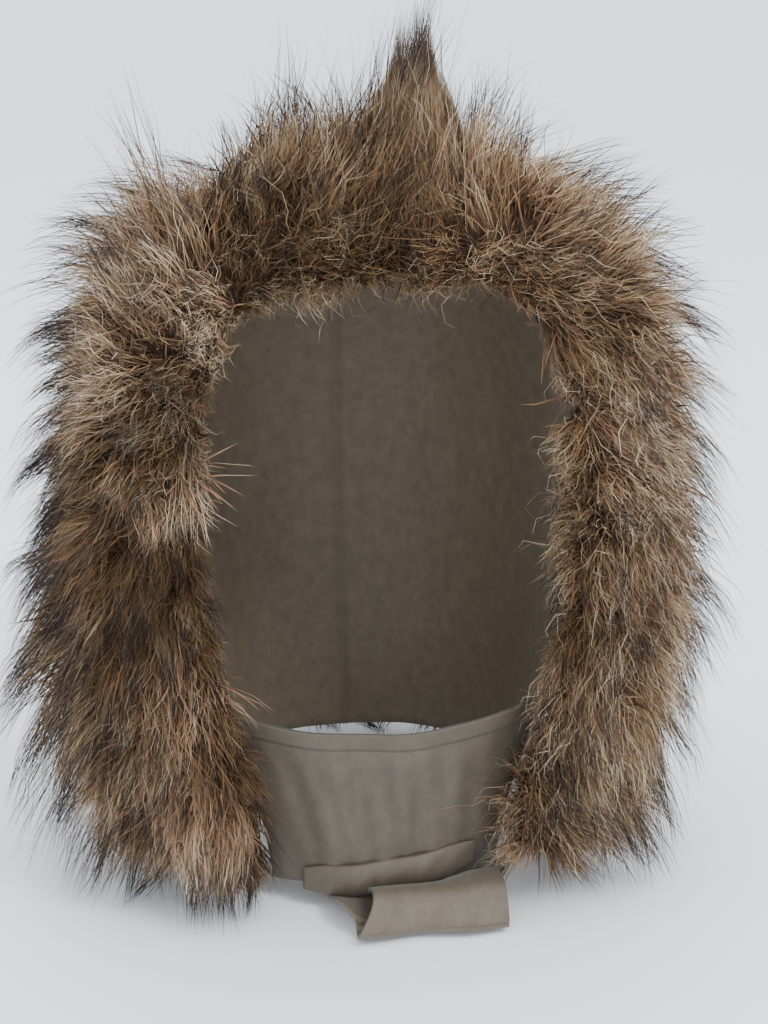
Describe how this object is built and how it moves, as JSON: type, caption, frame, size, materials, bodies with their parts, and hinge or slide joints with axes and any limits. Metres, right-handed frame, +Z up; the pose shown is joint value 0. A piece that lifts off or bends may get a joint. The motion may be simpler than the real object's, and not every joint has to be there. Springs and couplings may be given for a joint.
{
  "type": "fur hood",
  "caption": "Fur-covered hood with a deep long-haired ruff round the face, a taupe cloth lining and a cloth neck piece that closes under the chin.",
  "frame": {"origin": "inside of the crown at its highest point, where the hood sits on the head", "axes": "+Z up, the face opening looks along -Y, +X is to the right seen from in front"},
  "size_m": [0.2972, 0.2712, 0.3596],
  "materials": {
    "hood_fur": "deep long-haired fur, brown with cream bands and dark tips",
    "ruff_fur": "deep long-haired fur, rust brown underfur with cream bands and dark tips",
    "peak_fur": "long straight fur drawn up to a dark point",
    "taupe_cloth": "smooth taupe woven cloth with a faint sheen"
  },
  "bodies": {
    "root": {"lining": "taupe_cloth", "throat_panel": "taupe_cloth", "neck_band": "taupe_cloth", "hem_flap": "taupe_cloth", "fur_left": "hood_fur", "fur_right": "hood_fur", "ruff_left": "ruff_fur", "ruff_right": "ruff_fur", "peak_tuft": "peak_fur"}
  },
  "joints": []
}
